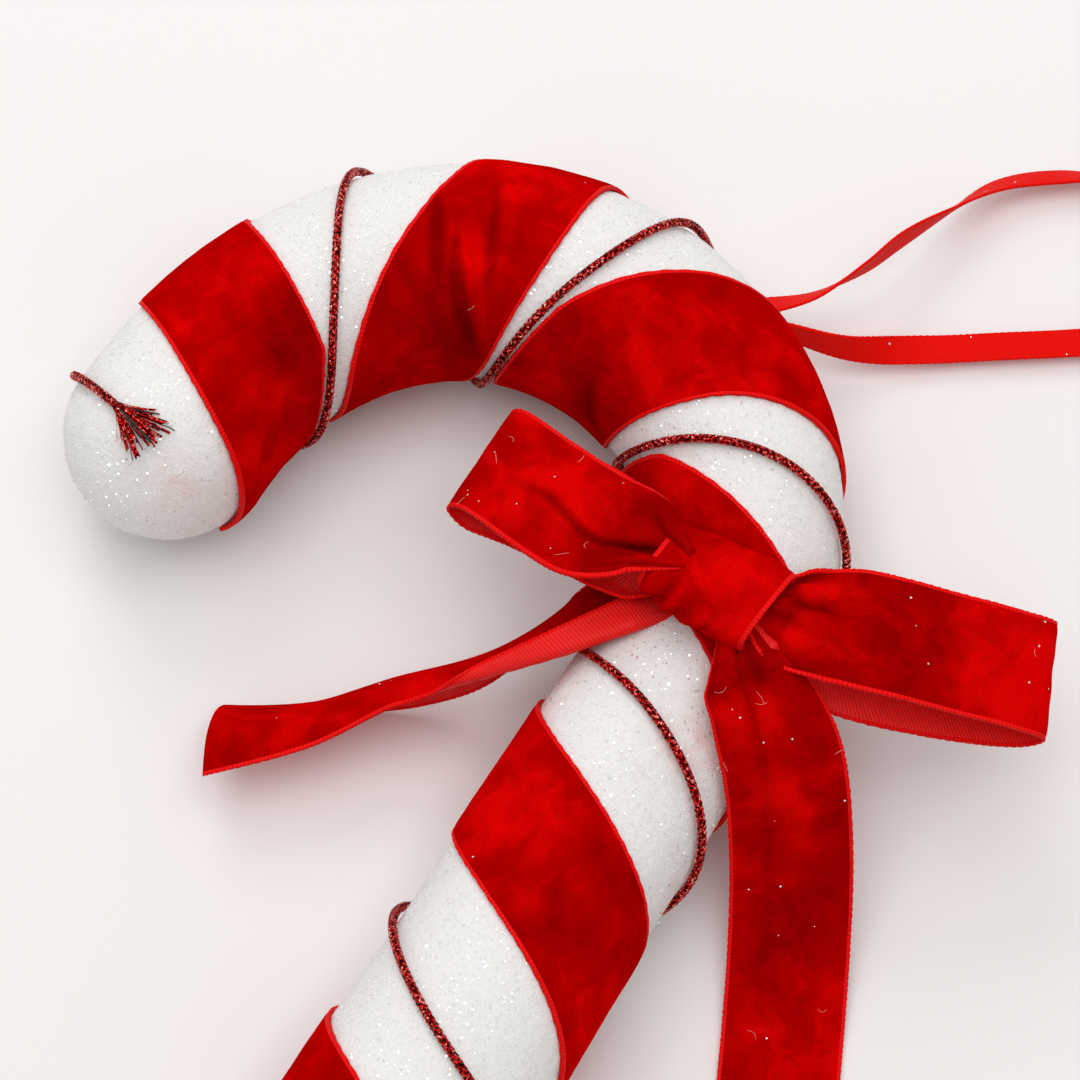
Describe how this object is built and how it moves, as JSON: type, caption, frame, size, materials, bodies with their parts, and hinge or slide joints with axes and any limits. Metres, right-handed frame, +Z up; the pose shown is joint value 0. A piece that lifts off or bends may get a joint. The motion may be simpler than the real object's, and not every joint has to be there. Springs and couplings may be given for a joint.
{
  "type": "decorative candy cane",
  "caption": "Foam candy cane ornament wound with velvet ribbon and metallic cord, with a velvet bow and a narrow hanging loop.",
  "frame": {"origin": "centre of the cane's own bounding box seen from above, on the surface it lies on", "axes": "+Y along the straight shaft towards the hook, +X towards the side that the shaft is on, +Z up from the surface"},
  "size_m": [0.2172, 0.4207, 0.0626],
  "materials": {
    "foam": "white foam with fine glitter",
    "velvet": "short red pile",
    "cord": "dark red metallic braid",
    "satin": "bright red ribbed ribbon"
  },
  "bodies": {
    "root": {"cane_core": "foam", "velvet_wrap": "velvet", "cord_wrap": "cord", "bow_loop_left": "velvet", "bow_loop_right": "velvet", "bow_knot": "velvet", "bow_tail_left": "velvet", "bow_tail_right": "velvet", "hanging_ribbon": "satin"}
  },
  "joints": []
}
